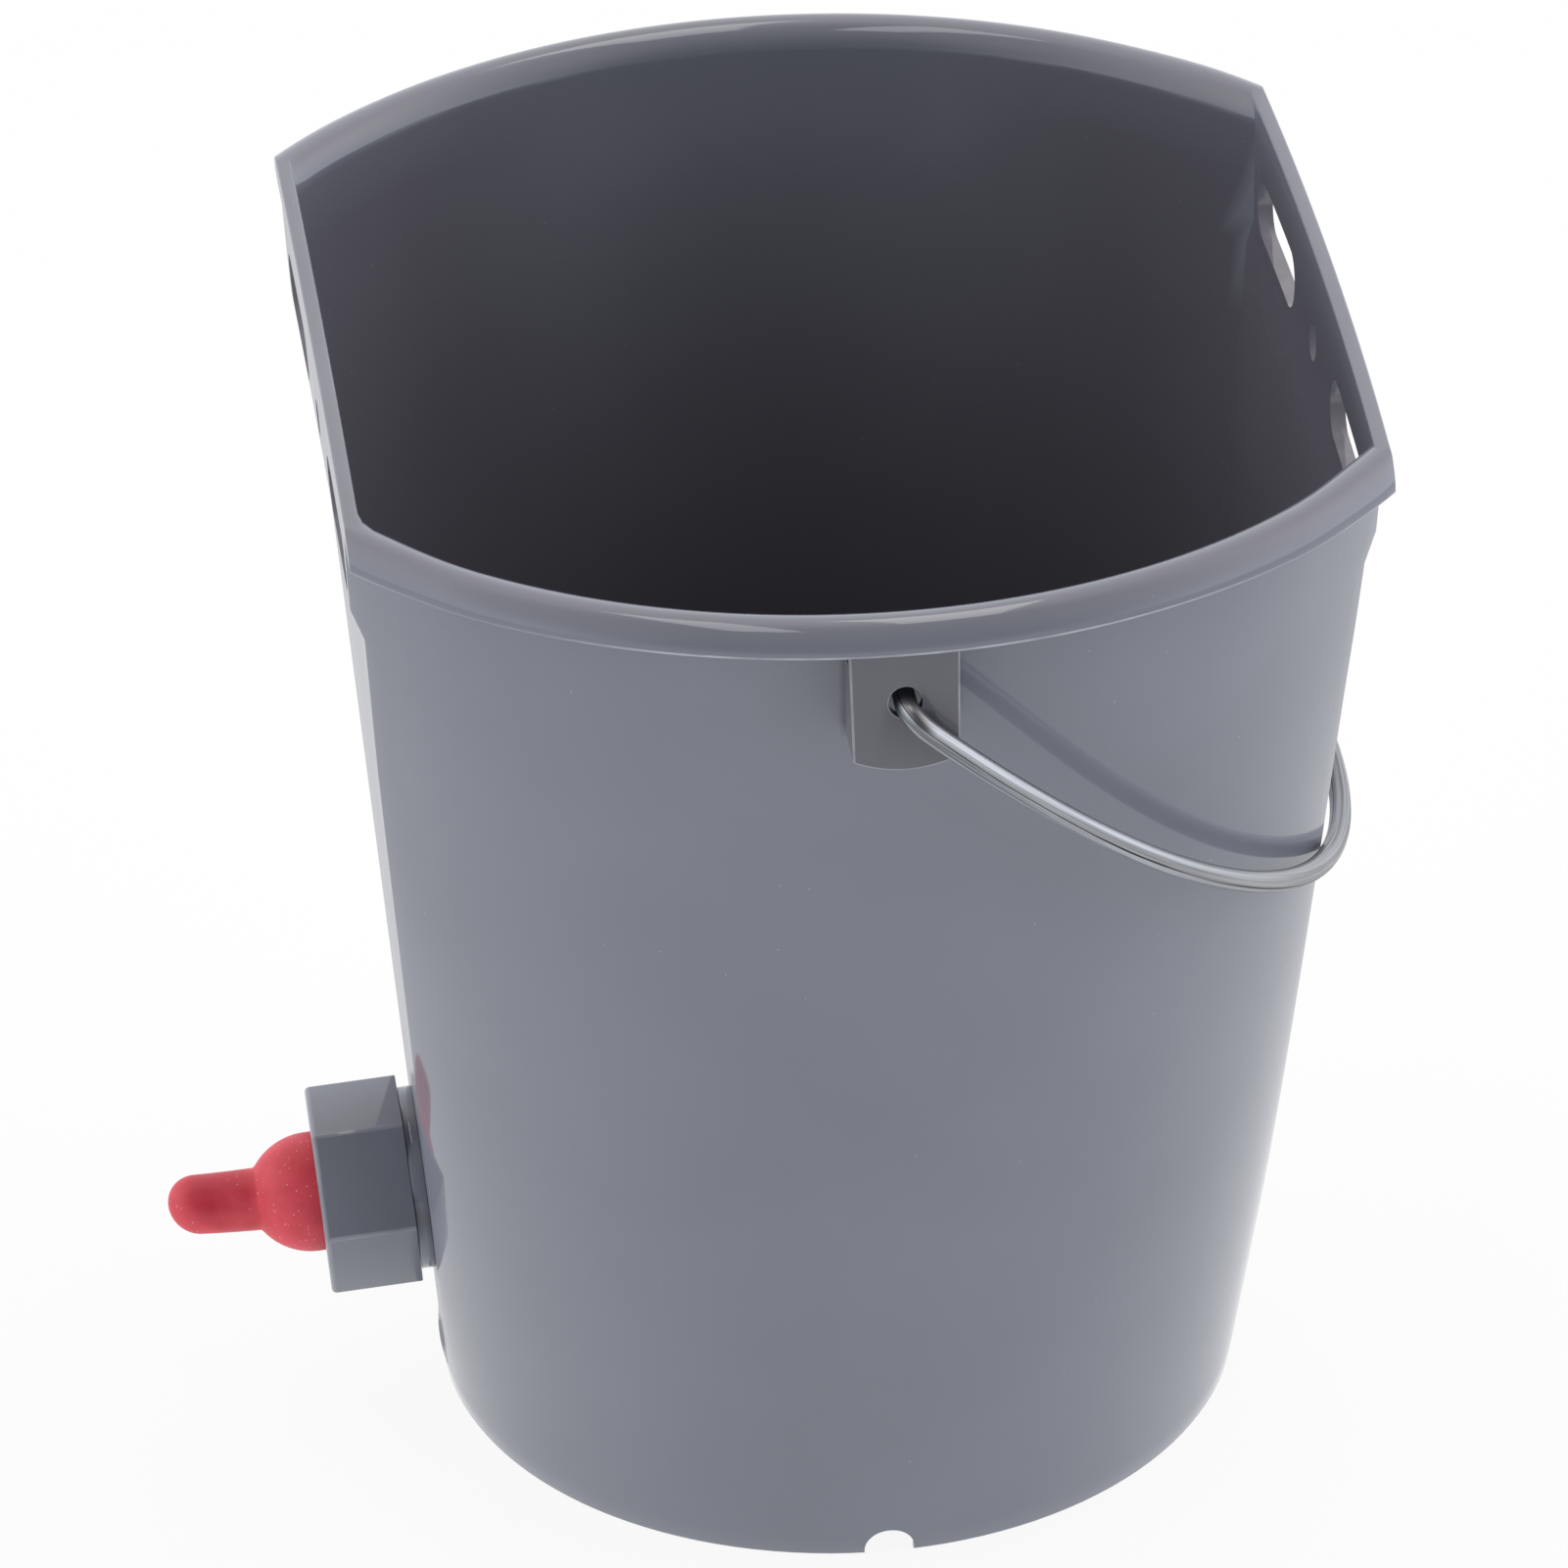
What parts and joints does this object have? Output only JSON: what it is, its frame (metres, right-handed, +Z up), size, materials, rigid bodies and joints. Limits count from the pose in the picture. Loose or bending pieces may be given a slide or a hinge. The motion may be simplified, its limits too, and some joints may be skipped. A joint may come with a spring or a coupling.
{
  "type": "calf feeder bucket",
  "caption": "Tapered pail with flat sides, slotted hanging panels and a wire bail; a rubber teat is held on a ball valve low in one flat side by a hexagonal union nut.",
  "frame": {"origin": "middle of the foot ring, on the floor", "axes": "+Z up; -X towards the teat; the bail turns about a line along Y"},
  "size_m": [0.2699, 0.31, 0.27],
  "materials": {
    "grey_shell": "satin moulded",
    "bail_wire": "galvanised, drawn",
    "valve_grey": "satin moulded",
    "gasket_rubber": "matte",
    "ball_white": "gloss",
    "stop_white": "satin moulded",
    "teat_rubber": "matte"
  },
  "bodies": {
    "bucket": {"bucket_shell": "grey_shell", "valve_body": "valve_grey", "wall_gasket": "gasket_rubber", "lock_nut": "valve_grey", "ball_stop": "stop_white"},
    "bail": {"bail": "bail_wire"},
    "teat": {"teat": "teat_rubber"},
    "union_nut": {"union_nut": "valve_grey"},
    "valve_ball": {"valve_ball": "ball_white"}
  },
  "joints": [
    {"name": "bail_swing", "type": "hinge", "parent": "bucket", "child": "bail", "pos_m": [0, 0, 0.252], "axis": [0, -1, 0], "range_deg": [0, 263.4]},
    {"name": "teat_slide", "type": "slide", "parent": "bucket", "child": "teat", "axis": [-0.9977, 0, -0.0672], "range_m": [0, 0.012]},
    {"name": "union_nut_turn", "type": "hinge", "parent": "teat", "child": "union_nut", "pos_m": [-0.09498, 0, 0.0507], "axis": [-0.9977, 0, -0.0672], "range_deg": [0, 1440]},
    {"name": "ball_travel", "type": "slide", "parent": "bucket", "child": "valve_ball", "axis": [-0.9977, 0, -0.0672], "range_m": [-0.0032, 0]}
  ],
  "couplings": [
    {"joint": "teat_slide", "follows": "union_nut_turn", "m_per_rad": 0.00047746}
  ]
}
